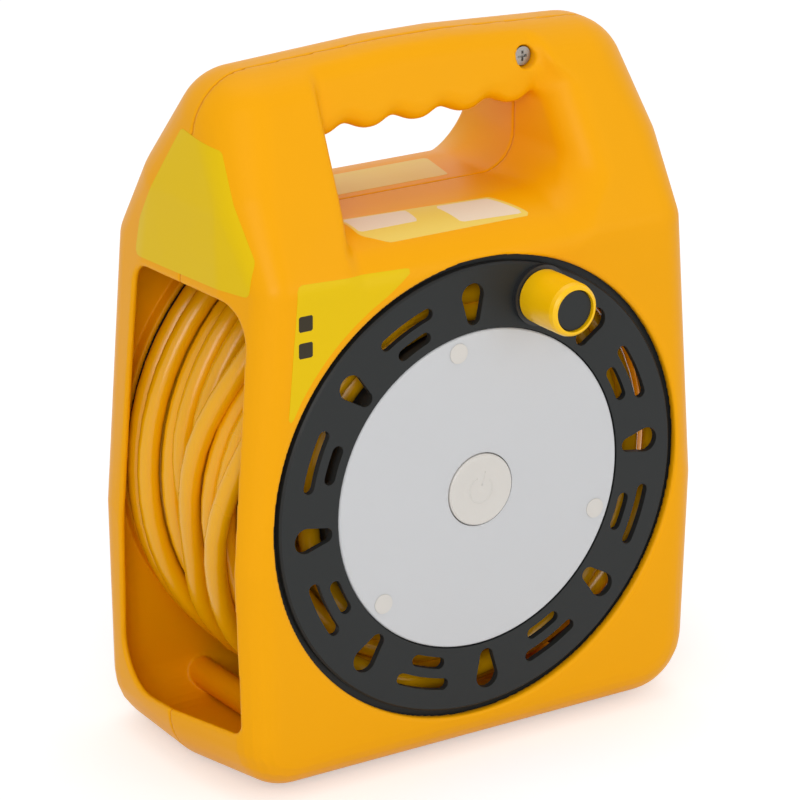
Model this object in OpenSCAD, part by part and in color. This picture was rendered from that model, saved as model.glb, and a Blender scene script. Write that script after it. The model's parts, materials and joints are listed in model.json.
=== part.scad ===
// Portable extension cord reel: a closed case with a hand hole, round which the cord is wound on a drum
// that carries a lamp on its front and the sockets on its back. Millimetres, Z up, front towards -Y.

/* [Case] */
// width at the parting plane
case_w = 217; // [215:0.5:220]
// depth, front face to rear face
case_d = 110; // [110:0.5:114]
// height, feet line to top of grip
case_h = 277.5; // [275:0.5:281]
// height of the drum axis over the ground
axis_h = 109.5; // [109:0.25:112]
// wall thickness
wall = 2.6; // [2.2:0.1:2.8]
// width lost on each side at the front by moulding draft
draft_w = 2.4; // [2.2:0.1:3.4]
// width lost on each side at the back
draft_rear = 0.2; // [0.1:0.1:0.8]
// parting plane, from the front face
part_y = 52; // [50:0.5:54]
// radius of all long outer edges
edge_r = 13.5; // [13:0.5:14.5]
// radius of the rear vertical edges
rear_r = 17; // [15:0.5:20]
// radius of the bottom corners seen from the front
corner_r = 24; // [22:0.5:25]
// height of the shoulder over the axis
shoulder_z = 91; // [90:0.5:93]
// width lost on each side up to the shoulder
shoulder_in = 7.4; // [6:0.2:8]
// width over the top corners
top_w = 192; // [186:0.5:194]
// where the flat of the base starts, from the front face
base_y = 40; // [38:0.5:44]
// radius of the top ridge
ridge_r = 24; // [22:0.25:25]
// flat between the two ridge rounds
ridge_flat = 4; // [3:0.2:6]
// rise of the middle of the top over its corners
top_arch = 3.1; // [2.5:0.1:3.5]
// how far the sides swell out between the shoulders and the top
side_swell = 2.6; // [1.6:0.2:3.6]
// width lost on each side at the bottom corners
foot_in = 1.6; // [1:0.1:2.4]

/* [Handle] */
// hand hole, left wall from the centre at the parting plane
hole_left = 50; // [48:0.5:51]
// hand hole, right wall from the centre at the parting plane
hole_right = 48.5; // [47:0.5:50]
// draft of the hand hole's walls, degrees
hole_draft = 7; // [5:0.5:9]
// flat of the saddle over the axis
saddle_z = 107.4; // [107:0.1:108.4]
// half the depth of the saddle's flat
saddle_flat = 25; // [22:0.5:28]
// radius in which the saddle rolls down to the front and the back
saddle_r = 42.5; // [40:0.5:46]
// radius between the saddle and the left wall
hole_corner_l = 4; // [3:0.5:8]
// radius between the saddle and the right wall
hole_corner_r = 15; // [12:0.5:18]
// lowest line of the grip over the axis
grip_z = 138.2; // [137.5:0.1:139.5]
// front of the grip at its lowest line, from the front face
grip_y = 31; // [30:0.5:33]
// round under the front and back of the grip
grip_r = 9; // [8:0.5:10]
// depth of the finger scallops
scallop_d = 2.8; // [2:0.1:3]
// pitch of the finger scallops
scallop_pitch = 21.6; // [20.5:0.1:22.5]
// first crest between two fingers, lowest line of the grip
scallop_x = -48.8; // [-50:0.2:-47]
// handle screw, place along the grip
hscrew_x = 44; // [42:0.5:46]
// handle screw, height over the axis
hscrew_z = 155.3; // [154:0.25:156]
// handle screw counterbore radius
hscrew_cb = 4.2; // [4:0.1:4.6]

/* [Side windows] */
// front edge from the front face
win_front = 8.4; // [8.2:0.1:9]
// rear edge at the bottom
win_rear = 90.5; // [88:0.5:91]
// rear edge at the top
win_rear_top = 84.5; // [83:0.5:86]
// top edge over the axis
win_top = 86.5; // [85:0.5:88]
// bottom edge below the axis
win_bottom = 84; // [82:0.5:85]
// front top corner radius
win_r_ft = 16; // [14:0.5:18]
// rear top corner radius
win_r_rt = 9; // [8:0.5:11]
// rear bottom corner radius
win_r_rb = 19; // [17:0.5:21]
// front bottom corner radius
win_r_fb = 5; // [4:0.5:7]

/* [Drum] */
// visible radius of the two flanges
disc_r = 90; // [88:0.25:90.5]
// gap between a flange and its opening
disc_gap = 2.7; // [2.2:0.1:3]
// flange face below the case face
disc_inset = 1; // [0.6:0.1:1.2]
// radius of the running rim
rim_r = 96; // [95.6:0.1:96.4]
// radial running clearance of the rim
rim_fit = 0.05; // [0.03:0.01:0.1]
// flange plate thickness
plate_t = 2.6; // [2.2:0.1:2.8]
// hub outer radius
hub_r = 62; // [61.5:0.25:63]
// hub wall
hub_t = 2.5; // [2.2:0.1:2.6]
// turn of the drum at rest, degrees
rest_turn = 3.3; // [0:0.1:6]

/* [Flange vents] */
// radius at which the outer end of a teardrop sits
tear_out = 78.6; // [78:0.1:79.2]
// radius at which the inner end of a teardrop sits
tear_in = 70; // [69.6:0.1:70.6]
// wide end radius of a teardrop
tear_r1 = 5; // [4.5:0.1:5.2]
// narrow end radius of a teardrop
tear_r2 = 3; // [2.5:0.1:3.2]
// radius of the outer slot row
slot_out = 78.9; // [78.4:0.1:79.6]
// radius of the inner slot row
slot_in = 70.4; // [70:0.1:71]
// slot width
slot_w = 4.8; // [4:0.1:5]
// length of an outer slot
slot_long = 25; // [23:0.5:26]
// length of an inner slot
slot_short = 15.5; // [14:0.5:17]

/* [Lamp] */
// diffuser radius
diff_r = 63.9; // [63:0.1:64]
// lamp button radius
btn_r = 14.3; // [13.8:0.1:14.5]
// gap round the lamp button
btn_gap = 0.5; // [0.4:0.1:0.7]
// lamp button travel
btn_travel = 1.5; // [1:0.1:1.6]
// radius on which the three screw plugs sit
plug_pcr = 57.7; // [57.4:0.1:57.8]
// screw plug radius
splug_r = 4; // [3.6:0.1:4.2]
// lamp board radius
board_r = 50; // [48:0.5:51]
// LEDs round the outer ring
led_n = 18; // [12:1:20]

/* [Sockets] */
// radius on which the sockets sit
sock_pcr = 38; // [37.6:0.1:38.2]
// socket recess radius
sock_r = 19.5; // [19.4:0.1:19.7]
// socket recess depth
sock_depth = 17.5; // [17:0.1:17.8]
// socket hole pitch
sock_pitch = 19; // [18.8:0.1:19.2]
// socket hole radius
sock_hole = 2.6; // [2.5:0.05:2.8]
// USB opening width
usb_w = 12.5; // [12.2:0.1:12.8]
// USB opening height
usb_h = 5.1; // [4.9:0.1:5.3]
// radius on which the USB module sits
usb_z = 41; // [40:0.25:42]
// radius on which the thermal cut-out sits
reset_pcr = 40; // [39:0.25:41]
// thermal reset button radius
reset_r = 3.5; // [3.2:0.1:3.8]
// thermal reset button travel
reset_travel = 1.5; // [1:0.1:1.8]

/* [Winding knob] */
// radius on which the knob sits
knob_pcr = 78.2; // [77.6:0.1:78.6]
// knob sleeve radius
knob_r = 10.5; // [10:0.1:10.8]
// knob sleeve outer end, from the case face
knob_len = 23; // [21:0.5:24]
// knob post radius
post_r = 4; // [3.6:0.1:4.4]
// knob collar radius
collar_r = 12; // [11.2:0.1:12]
// knob cap radius
cap_r = 8.2; // [7.8:0.1:8.4]
// running clearance of the sleeve on its post
knob_fit = 0.06; // [0.04:0.01:0.1]

/* [Cord] */
// outside diameter of the cord
cord_d = 8.6; // [8.2:0.1:8.8]
// radius of the plain core under the outer layer
core_r = 88; // [87.6:0.1:88.2]
// first lane of the outer layer, from the front face
wind_y0 = 18.5; // [17.5:0.25:19.5]
// last lane of the outer layer
wind_y1 = 92; // [90:0.25:93]
// height of the outer layer over the core
wind_lift = 0.35; // [0.3:0.05:0.45]
// how far loose turns stand off, front and middle lanes
wind_slack = 0.6; // [0.2:0.1:0.8]
// how far loose turns stand off, rear lanes
wind_slack_rear = 3.2; // [2:0.1:3.6]
// where the rear lanes begin, from the front face
wind_rear_y = 77; // [74:0.5:80]

/* [Plug] */
// plug body radius
plug_r = 18.5; // [18:0.1:18.7]
// plug body thickness
plug_t = 26; // [25:0.5:27]
// pin pitch
pin_pitch = 19; // [18.8:0.1:19.2]
// pin radius
pin_r = 2.4; // [2.3:0.05:2.5]
// pin length
pin_len = 19; // [18:0.5:20]
// strain relief length
relief_len = 22; // [21:0.5:24]

/* [Hidden] */
$fn = 96;

eps = 0.01;
hw = case_w / 2;
top_z = case_h - axis_h;
fw = hw - draft_w;
rw = hw - draft_rear;
front_rise = 3.2;
op_r = disc_r + disc_gap;
ring_r = rim_r + rim_fit;
f1 = disc_inset;
f2 = disc_inset + plate_t;
rim_y0 = 4.5;
rim_y1 = 7.3;
ring_y0 = 4;
ring_y1 = 8.1;
ring_t = 2.5;
hub_in = hub_r - hub_t;
part_h = 24;
seat_r = diff_r + 0.5;
gap_a = [30, 150, 270];
sock_a = [90, 210, 330];
plug_a = [97.3, 217.3, 337.3];
scr_r = 56;
cup_t = 1.7;
boss_r = 6;
knob_a = 67.5;
cord_r = cord_d / 2;
tail_y = 63;

// the drum axis, from the front face of the case
module at_case() translate([0, -case_d / 2, axis_h]) children();
module at_drum() at_case() rotate([0, -rest_turn, 0]) children();
// the same frame seen from the rear face: y counts inwards from the back
module from_rear() translate([0, case_d, 0]) mirror([0, 1, 0]) children();
// a cylinder along y
module yc(r, y0, y1) translate([0, y0, 0]) rotate([-90, 0, 0]) cylinder(r = r, h = y1 - y0);
// a flat shape in x and z, given a depth along y
module xz(y0, y1) translate([0, y1, 0]) rotate([90, 0, 0]) linear_extrude(y1 - y0) children();
// a turned shape about y, drawn as radius and y
module turned() rotate([-90, 0, 0]) rotate_extrude() children();
// carries its children to radius r at angle a, seen from the front
module polar(r, a) translate([r * cos(a), 0, r * sin(a)]) rotate([0, -a, 0]) children();
module tube_y(r, ri, y0, y1) difference() {
  yc(r, y0, y1);
  yc(ri, y0 - 1, y1 + 1);
}

// ---- case form ----
module edge_ball(x, y, z, r) translate([x, y, z]) sphere(r = r, $fn = 24);
module corner_ring(x, y, z, r, t) translate([x, y, z]) rotate([90, 0, 0]) rotate_extrude($fn = 24)
  intersection() {
    translate([corner_r - r, 0]) circle(r = r - t, $fn = 24);
    translate([0, -r]) square([corner_r, 2 * r]);
  }

// half the flat crown of the top, and how far the front shoulder lies inside the rear one
crown_x = 14;
front_in = 1.2;
corner_x = top_w / 2 - ridge_r;
corner_z = top_z - top_arch - ridge_r;
// a side's swell: a round half way from a shoulder to the top corner
module swell(x, y, r, y_top, t) edge_ball((x + corner_x) / 2 + side_swell, (y + y_top) / 2,
  (shoulder_z + corner_z) / 2, (r + ridge_r) / 2 - t);

// t is how far the form lies inside the outer one
module case_form(t) hull() {
  translate([corner_r - hw, base_y, t - axis_h]) cube([case_w - 2 * corner_r, case_d - rear_r - base_y, 1]);
  for (s = [0, 1]) mirror([s, 0, 0]) {
    front_x = fw - edge_r - shoulder_in - front_in;
    rear_x = rw - rear_r - shoulder_in;
    corner_ring(fw - corner_r - foot_in, edge_r, -axis_h + front_rise + corner_r, edge_r, t);
    edge_ball(fw - edge_r, edge_r, -15, edge_r - t);
    edge_ball(front_x, edge_r, shoulder_z, edge_r - t);
    swell(front_x, edge_r, edge_r, case_d / 2 - ridge_flat / 2, t);
    translate([hw - corner_r, part_y, -axis_h + corner_r]) rotate([90, 0, 0])
      cylinder(r = corner_r - t, h = 1, center = true, $fn = 24);
    corner_ring(rw - corner_r - foot_in, case_d - rear_r, -axis_h + corner_r, rear_r, t);
    edge_ball(rw - rear_r, case_d - rear_r, -15, rear_r - t);
    edge_ball(rear_x, case_d - rear_r, shoulder_z, rear_r - t);
    swell(rear_x, case_d - rear_r, rear_r, case_d / 2 + ridge_flat / 2, t);
    for (m = [-1, 1]) {
      edge_ball(corner_x, case_d / 2 + m * ridge_flat / 2, corner_z, ridge_r - t);
      edge_ball(crown_x, case_d / 2 + m * ridge_flat / 2, top_z - ridge_r, ridge_r - t);
    }
  }
}

// corner rounds of a straight-sided shape: p is the corner, a and b its neighbours
function unit(v) = v / norm(v);
module corner_cut(p, a, b, r) {
  u = unit(a - p);
  v = unit(b - p);
  half = acos(u * v) / 2;
  c = p + unit(u + v) * r / sin(half);
  d = r / tan(half);
  difference() {
    polygon([p - unit(u + v) * 0.5, p + u * d, c, p + v * d]);
    translate(c) circle(r = r);
  }
}
module window_shape() {
  fb = [win_front, -win_bottom + 3.5];
  ft = [win_front + 3, win_top + 0.5];
  rt = [win_rear_top, win_top - 0.5];
  rb = [win_rear, -win_bottom - 4.5];
  difference() {
    polygon([fb, ft, rt, rb]);
    corner_cut(fb, ft, rb, win_r_fb);
    corner_cut(ft, rt, fb, win_r_ft);
    corner_cut(rt, rb, ft, win_r_rt);
    corner_cut(rb, fb, rt, win_r_rb);
  }
}
// both side windows, open right through
module windows() translate([-hw - 5, 0, 0]) rotate([90, 0, 90]) linear_extrude(case_w + 10) window_shape();

// height of the saddle at depth y: a flat that rolls down to both faces; g thickens the hole
function saddle_at(y, g) = let (d = min(case_d / 2, abs(y - case_d / 2)) - saddle_flat)
  saddle_z - saddle_r + (d > 0 ? sqrt(pow(saddle_r - g, 2) - d * d) : saddle_r - g);
// half-round between the floor and a wall: side is -1 on the left
function floor_arc(x, z, r, side, n) = [for (i = [0:n]) let (a = 90 * (side < 0 ? i : n - i) / n)
  [x - side * r * (1 - cos(a)), z + r * (1 - sin(a))]];
function draft_at(y) = abs(y - part_y) * tan(hole_draft);
hole_y = [-15, 0, 5, 11, 18, 25, 30, part_y, 80, 85, 92, 99, 105, 110, 125];
// the open space of the hand hole up to the grip, lofted from front to back
module hole_space(g) {
  loops = [for (y = hole_y) let (z = saddle_at(y, g), xl = -hole_left - g - draft_at(y),
    xr = hole_right + g + draft_at(y)) concat([[xl, grip_z - 0.5]], floor_arc(xl, z, hole_corner_l + g, -1, 5),
    floor_arc(xr, z, hole_corner_r + g, 1, 10), [[xr, grip_z - 0.5]])];
  m = len(loops[0]);
  last = (len(hole_y) - 1) * m;
  pts = [for (k = [0:len(hole_y) - 1]) for (q = loops[k]) [q[0], hole_y[k], q[1]]];
  skin = [for (k = [0:len(hole_y) - 2]) for (i = [0:m - 1]) let (j = (i + 1) % m, o = k * m)
    each [[o + i, o + j, o + m + j], [o + i, o + m + j, o + m + i]]];
  polyhedron(points = pts, convexity = 6, faces = concat(skin, [[for (i = [m - 1:-1:0]) i]],
    [[for (i = [0:m - 1]) last + i]]));
}
// underside of the grip: a wave of round fingers' seats with a crest hanging down between them
function wave_z(x) = grip_z + scallop_d * pow(0.5 - 0.5 * cos(360 * (x - scallop_x) / scallop_pitch), 1.25);
wave_step = scallop_pitch / 12;
module hand_hole() {
  hole_space(0);
  xa = -hole_left - 10;
  xb = hole_right + 10;
  intersection() {
    xz(-20, case_d + 20) polygon(concat([for (x = [xa:wave_step:xb]) [x, wave_z(x)]],
      [[xb, grip_z - 3], [xa, grip_z - 3]]));
    translate([0, 0, grip_z - 9]) linear_extrude(30) polygon([
      for (y = [-16, part_y, 126]) [-hole_left - draft_at(y) - 0.05, y],
      for (y = [126, part_y, -16]) [hole_right + draft_at(y) + 0.05, y]]);
  }
}
// front line of the grip, set back from the leaning face; it runs up into the ridge
grip_zt = top_z - 5;
grip_in = grip_zt - top_z + top_arch / 2 + ridge_r;
grip_yt = case_d / 2 - ridge_flat / 2 - sqrt(ridge_r * ridge_r - grip_in * grip_in);
function grip_at(z) = grip_y + (grip_yt - grip_y) * (z - grip_z) / (grip_zt - grip_z);
module along_x(x0, x1) translate([x0, 0, 0]) rotate([90, 0, 90]) linear_extrude(x1 - x0) children();
module grip_face() {
  dx = (part_y - 26) * tan(hole_draft);
  along_x(-hole_left - dx, hole_right + dx) polygon([[-5, grip_z - eps], [grip_y, grip_z - eps],
    [grip_yt, grip_zt], [-5, grip_zt]]);
  along_x(-hole_left - dx + 1, hole_right + dx - 1) corner_cut([grip_y, grip_z], [grip_yt, grip_zt],
    [grip_y + 20, grip_z], grip_r);
}

// what both halves share: hollow body, solid handle, collars for the drum, hole and windows cut
module case_body() difference() {
  case_form(0);
  difference() {
    case_form(wall);
    hole_space(wall);
    translate([-hw, -1, saddle_z + 6]) cube([case_w, case_d + 2, 100]);
    for (m = [0, 1]) translate([0, m * case_d, 0]) mirror([0, m, 0]) tube_y(ring_r + ring_t, op_r - 1, 1.2, ring_y1);
    for (s = [-1, 1]) translate([s * 62, 0, -99.5]) yc(boss_r, 1.5, case_d - 1.5);
  }
  yc(op_r, -1, 6);
  yc(op_r, case_d - 6, case_d + 1);
  yc(ring_r, ring_y0, 12);
  yc(ring_r, case_d - 12, case_d - ring_y0);
  hand_hole();
  grip_face();
  from_rear() grip_face();
  windows();
}
// screw places of the case: two low bosses and the two solid posts
screw_at = [[-62, -99.5], [62, -99.5], [-76, 124], [76, 124]];

hscrew_y = grip_at(hscrew_z) + 5;

module front_shell() color([0.94, 0.66, 0.02]) at_case() difference() {
  case_body();
  translate([-hw - 5, part_y, -axis_h - 5]) cube([case_w + 10, case_d, case_h + 10]);
  for (p = screw_at) translate([p[0], 0, p[1]]) yc(1.55, part_y - 20, part_y + 1);
  translate([hscrew_x, 0, hscrew_z]) {
    yc(hscrew_cb, 10, hscrew_y);
    yc(1.95, 20, part_y + 1);
  }
}
module rear_shell() color([0.94, 0.66, 0.02]) at_case() difference() {
  case_body();
  translate([-hw - 5, -5, -axis_h - 5]) cube([case_w + 10, part_y + 5, case_h + 10]);
  for (p = screw_at) translate([p[0], 0, p[1]]) {
    yc(1.95, part_y - 1, part_y + 30);
    yc(4.2, part_y + 18, case_d + 1);
  }
  translate([hscrew_x, 0, hscrew_z]) yc(1.55, part_y - 1, part_y + 12);
}
module screw(head_r, head_h, shank_r, len) {
  difference() {
    yc(head_r, -head_h, 0);
    for (a = [0, 90]) rotate([0, a, 0]) translate([-head_r * 0.55, -head_h - 1, -0.5])
      cube([head_r * 1.1, 2, 1]);
  }
  yc(shank_r, -eps, len);
}
module case_screws() color([0.6, 0.6, 0.62]) at_case()
  for (p = screw_at) translate([p[0], part_y + 18, p[1]]) mirror([0, 1, 0]) screw(3.7, 2.4, 1.5, 34);
module handle_screw() color([0.6, 0.6, 0.62]) at_case()
  translate([hscrew_x, hscrew_y, hscrew_z]) screw(3.7, 2.4, 1.5, 20);

// ---- drum ----
module tear() {
  d = tear_out - tear_in;
  a = acos((tear_r1 - tear_r2) / d);
  translate([tear_out, 0]) circle(r = tear_r1);
  translate([tear_in, 0]) circle(r = tear_r2);
  r1 = tear_r1 - 0.04;
  r2 = tear_r2 - 0.04;
  polygon([[tear_out - r1 * cos(a), r1 * sin(a)], [tear_in - r2 * cos(a), r2 * sin(a)],
    [tear_in - r2 * cos(a), -r2 * sin(a)], [tear_out - r1 * cos(a), -r1 * sin(a)]]);
}
// a slot that follows its circle, with round ends
module slot_piece(r, len) {
  a = (len - slot_w) / 2 / r * 180 / PI;
  intersection() {
    difference() {
      circle(r = r + slot_w / 2);
      circle(r = r - slot_w / 2);
    }
    polygon([[0, 0], [120, -120 * tan(a)], [120, 120 * tan(a)]]);
  }
  for (s = [-1, 1]) rotate(s * a) translate([r, 0]) circle(r = slot_w / 2 - 0.03);
}
module vents(keep) {
  for (k = [0:7]) rotate(90 + 45 * k) tear();
  for (k = [0:7]) if (k != keep) rotate(112.5 + 45 * k) {
    slot_piece(slot_out, slot_long);
    slot_piece(slot_in, slot_short);
  }
}
// one flange as it lies behind its opening
module flange_ring() turned() polygon([
  [seat_r, f1], [disc_r - 0.8, f1], [disc_r, f1 + 0.8], [disc_r, rim_y0], [rim_r, rim_y0], [rim_r, rim_y1],
  [disc_r - 2.5, rim_y1], [disc_r - 2.5, f2], [seat_r + 2, f2], [seat_r + 2, rim_y1],
  [53, rim_y1], [53, f2], [seat_r, f2]]);
module front_flange() color([0.2, 0.2, 0.2]) at_drum() difference() {
  flange_ring();
  xz(0, 10) vents(7);
  for (a = plug_a) polar(plug_pcr, a) yc(5.4, 0, 10);
  polar(knob_pcr, knob_a) yc(3.05, 0, 10);
}
module rear_flange() color([0.2, 0.2, 0.2]) at_drum() from_rear() difference() {
  flange_ring();
  xz(0, 10) vents(-1);
  for (a = gap_a) polar(scr_r, a) yc(5.4, 0, 10);
  for (a = sock_a) polar(sock_pcr, a) yc(sock_r + cup_t + 0.6, 0, 10);
}
module diffuser() color([0.85, 0.85, 0.85]) at_drum() difference() {
  union() {
    turned() polygon([[btn_r + btn_gap, f1], [diff_r - 0.5, f1], [diff_r, f1 + 0.5], [diff_r, f2],
      [btn_r + btn_gap, f2]]);
    for (a = plug_a) polar(plug_pcr, a) yc(5.2, f2 - 1, 7.2);
  }
  for (a = plug_a) polar(plug_pcr, a) {
    yc(splug_r, 0, 5.6);
    yc(1.8, 0, 10);
  }
}
module diffuser_screws() color([0.6, 0.6, 0.62]) at_drum()
  for (a = plug_a) polar(plug_pcr, a) translate([0, 5.6, 0]) screw(3.4, 2.2, 1.4, 11);
module screw_plugs() color([0.9, 0.9, 0.88]) at_drum()
  for (a = plug_a) polar(plug_pcr, a) yc(splug_r - 0.04, f1 - 0.15, f2 - 0.4);
module lamp_board() color([0.9, 0.92, 0.9]) at_drum() {
  yc(board_r, 13.6, 15.2);
  tube_y(7, 5.05, 7, 13.6 + eps);
  for (a = plug_a) polar(42, a) yc(3, 15.2 - eps, part_h);
}
module lamp_leds() color([0.95, 0.9, 0.6]) at_drum() {
  for (k = [0:led_n - 1]) polar(40, k * 360 / led_n) translate([-1.7, 12.9, -1.4]) cube([3.4, 0.7, 2.8]);
  for (k = [0:9]) polar(24, k * 36) translate([-1.7, 12.9, -1.4]) cube([3.4, 0.7, 2.8]);
}
module lamp_switch() color([0.15, 0.15, 0.16]) at_drum() {
  yc(4.4, 12.2, 13.6);
}
module lamp_button() color([0.84, 0.83, 0.81]) at_drum() turned() polygon([
  [0, 0.5], [8, 0.35], [12.6, 0.1], [btn_r - 0.5, 0.15], [btn_r, 0.7], [btn_r, f2 + 0.3],
  [btn_r + 1.9, f2 + 0.3], [btn_r + 1.9, f2 + 1.4], [5, f2 + 1.4], [5, 10.2], [0, 10.2]]);
module drum_hub() color([0.16, 0.16, 0.17]) at_drum() difference() {
  union() {
    tube_y(hub_r, hub_in, rim_y1, case_d - rim_y1);
    yc(hub_in + 0.5, part_h, part_h + 2.4);
    intersection() {
      yc(hub_r, 0, case_d);
      for (a = plug_a) polar(plug_pcr, a) yc(4.2, 7.2, part_h + 1);
    }
    for (a = gap_a) polar(scr_r - 4, a) translate([-1, part_h + 1, -1.2])
      cube([hub_in - scr_r + 5.5, 60, 2.4]);
    for (a = gap_a) polar(scr_r, a) yc(4.2, part_h + 1, case_d - f2 - 3.4);
  }
  for (a = plug_a) polar(plug_pcr, a) yc(1.45, 5, part_h - 2);
  for (a = gap_a) polar(scr_r, a) yc(1.45, 80, case_d);
}
// in this frame x runs round the panel and z outwards
module sock_frame(a) polar(sock_pcr, a) rotate([0, 90, 0]) children();
module socket_panel() color([0.14, 0.14, 0.15]) at_drum() from_rear() difference() {
  union() {
    turned() polygon([[0, f1], [diff_r - 0.5, f1], [diff_r, f1 + 0.5], [diff_r, f2], [0, f2]]);
    for (a = sock_a) polar(sock_pcr, a) yc(sock_r + cup_t, f2 - 1, f1 + sock_depth + 12);
    for (a = gap_a) polar(scr_r, a) yc(5.2, f2 - 1, f2 + 3.4);
    polar(reset_pcr, gap_a[0]) yc(9.6, f2 - 1, f2 + 3.2);
  }
  for (a = sock_a) sock_frame(a) {
    yc(sock_r, -1, f1 + sock_depth);
    for (s = [-1, 1]) translate([s * sock_pitch / 2, 0, 0]) {
      yc(sock_hole, 0, f1 + sock_depth + 3.01);
      yc(3.4, f1 + sock_depth + 3, 60);
    }
  }
  for (a = gap_a) polar(scr_r, a) {
    yc(4, 0, f2 + 1);
    yc(1.8, 0, 20);
  }
  polar(reset_pcr, gap_a[0]) {
    yc(8, -1, f2 + 0.6);
    yc(6.3, -1, 20);
  }
  translate([-15, -1, -usb_z - 8]) cube([30, 10, 16]);
}
module socket_contacts() color([0.8, 0.65, 0.3]) at_drum() from_rear()
  for (a = sock_a) sock_frame(a) for (s = [-1, 1])
    translate([s * sock_pitch / 2, 0, 0]) tube_y(3.38, 2.48, f1 + sock_depth + 3.02, f1 + sock_depth + 11.5);
module earth_clips() color([0.8, 0.8, 0.8]) at_drum() from_rear()
  for (a = sock_a) sock_frame(a) for (t = [0, 180]) rotate([0, t, 0])
    translate([-2.2, 0, 0]) rotate([90, 0, 90]) linear_extrude(4.4) polygon([
      [f1 + 3, 18.2], [f1 + 3, 19.25], [f1 + sock_depth, 19.25], [f1 + sock_depth, 17.2],
      [f1 + sock_depth - 1.2, 17.2], [f1 + sock_depth - 1.2, 18.2], [f1 + 12, 18.2], [f1 + 9, 16.9],
      [f1 + 6, 16.9]]);
module usb_module() color([0.1, 0.1, 0.1]) at_drum() from_rear() {
  difference() {
    translate([-15, f1, -usb_z - 8]) cube([30, 16, 16]);
    for (s = [-1, 1]) translate([s * 7.2 - usb_w / 2, -1, -usb_z - usb_h / 2]) cube([usb_w, f1 + 12, usb_h]);
  }
  for (s = [-1, 1]) translate([s * 7.2 - 5.6, f1 + 1.2, -usb_z + 0.2]) cube([11.2, 9.81, 1.8]);
}
module at_reset() at_drum() from_rear() polar(reset_pcr, gap_a[0]) children();
module thermal_cutout() color([0.12, 0.12, 0.13]) at_reset() difference() {
  union() {
    yc(6.2, f1 + 0.4, f2 + 4);
    yc(9.6, f2 + 3.2, f2 + 18);
  }
  yc(reset_r + 0.06, -1, f2 + 12);
  yc(reset_r + 1.4, f2 + 5, f2 + 12);
}
module reset_button() color([0.75, 0.1, 0.08]) at_reset() turned() polygon([
  [0, 0.25], [reset_r - 0.6, 0.25], [reset_r, 0.85], [reset_r, f2 + 5.3], [reset_r + 1, f2 + 5.3],
  [reset_r + 1, f2 + 6.6], [reset_r, f2 + 6.6], [reset_r, f2 + 10], [0, f2 + 10]]);
module drum_screws() color([0.6, 0.6, 0.62]) at_drum() from_rear()
  for (a = gap_a) polar(scr_r, a) translate([0, f2 + 1, 0]) screw(3.6, 2.2, 1.4, 20);

// ---- winding knob ----
module at_knob() at_drum() polar(knob_pcr, knob_a) children();
module knob_post() color([0.16, 0.16, 0.17]) at_knob() difference() {
  union() {
    yc(collar_r, f1 - 2, f1);
    yc(3, f1 - eps, f2 + 2);
    yc(post_r, 6 - knob_len, f1 - 1);
  }
  yc(1.45, 5 - knob_len, -2);
}
module knob_screw() color([0.6, 0.6, 0.62]) at_knob() translate([0, 6 - knob_len, 0])
  screw(6.4, 1.8, 1.4, 12);
module knob_sleeve() color([0.98, 0.76, 0.03]) at_knob() difference() {
  turned() polygon([[post_r + knob_fit, f1 - 2.5], [knob_r, f1 - 2.5], [knob_r + 0.15, -8],
    [knob_r, 2.6 - knob_len],
    [knob_r - 0.5, 0.9 - knob_len], [knob_r - 1.4, -knob_len], [cap_r + 0.05, -knob_len],
    [cap_r + 0.05, 6.3 - knob_len], [post_r + knob_fit, 6.3 - knob_len]]);
  rotate([0, 180, 0]) translate([6, f1 - 13, -0.6]) cube([6, 14, 1.2]);
}
module knob_cap() color([0.2, 0.21, 0.22]) at_knob() turned() polygon([
  [0, 1.1 - knob_len], [cap_r - 0.6, 1.1 - knob_len], [cap_r, 1.7 - knob_len], [cap_r, 3.6 - knob_len],
  [0, 3.6 - knob_len]]);

// ---- wound cord: a plain ring for the inner layers, and one for the loose outer layer ----
core_y0 = 9;
core_y1 = case_d - 9;
module cord_core() color([0.86, 0.62, 0.02]) at_drum() tube_y(core_r, hub_r, core_y0, core_y1);
module cord_winding() color([0.93, 0.70, 0.03]) at_drum() {
  ri = core_r + wind_lift;
  r1 = ri + cord_d + wind_slack;
  r2 = ri + cord_d + wind_slack_rear;
  y0 = wind_y0 - cord_r;
  y1 = wind_y1 + cord_r;
  turned() polygon([[ri, y0], [r1 - cord_r, y0], [r1, y0 + cord_r], [r1, wind_rear_y],
    [r2, wind_rear_y + cord_r], [r2, y1 - cord_r], [r2 - cord_r, y1], [ri, y1]]);
}

// ---- plug and the last stretch, parked in the low corner of the case ----
function tangent(p, i) = let (n = len(p)) i == 0 ? unit(p[1] - p[0]) : i == n - 1 ? unit(p[n - 1] - p[n - 2])
  : unit(unit(p[i + 1] - p[i]) + unit(p[i] - p[i - 1]));
// a tube through the points, its rings turned about the reference direction
module cord_tube(p, r, sides, ref) {
  n = len(p);
  rings = [for (i = [0:n - 1]) let (t = tangent(p, i), u = unit(cross(ref, t)), v = cross(t, u))
    for (k = [0:sides - 1]) p[i] + r * (cos(k * 360 / sides) * u + sin(k * 360 / sides) * v)];
  side = [for (i = [0:n - 2]) for (k = [0:sides - 1]) let (a = i * sides + k, b = i * sides + (k + 1) % sides)
    each [[a, b, a + sides], [b, b + sides, a + sides]]];
  cap0 = [for (k = [1:sides - 2]) [0, k + 1, k]];
  cap1 = [for (k = [1:sides - 2]) let (o = (n - 1) * sides) [o, o + k, o + k + 1]];
  polyhedron(points = rings, faces = [for (f = concat(side, cap0, cap1)) [f[0], f[2], f[1]]], convexity = 10);
}
plug_x = 85.4;
plug_z = -87;
tail_r = 103.1;
tail_phi = -13;
plug_dir = unit([tail_r * cos(tail_phi) - plug_x, 0, tail_r * sin(tail_phi) - plug_z]);
plug_tilt = atan2(plug_dir[2], plug_dir[0]);
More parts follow.
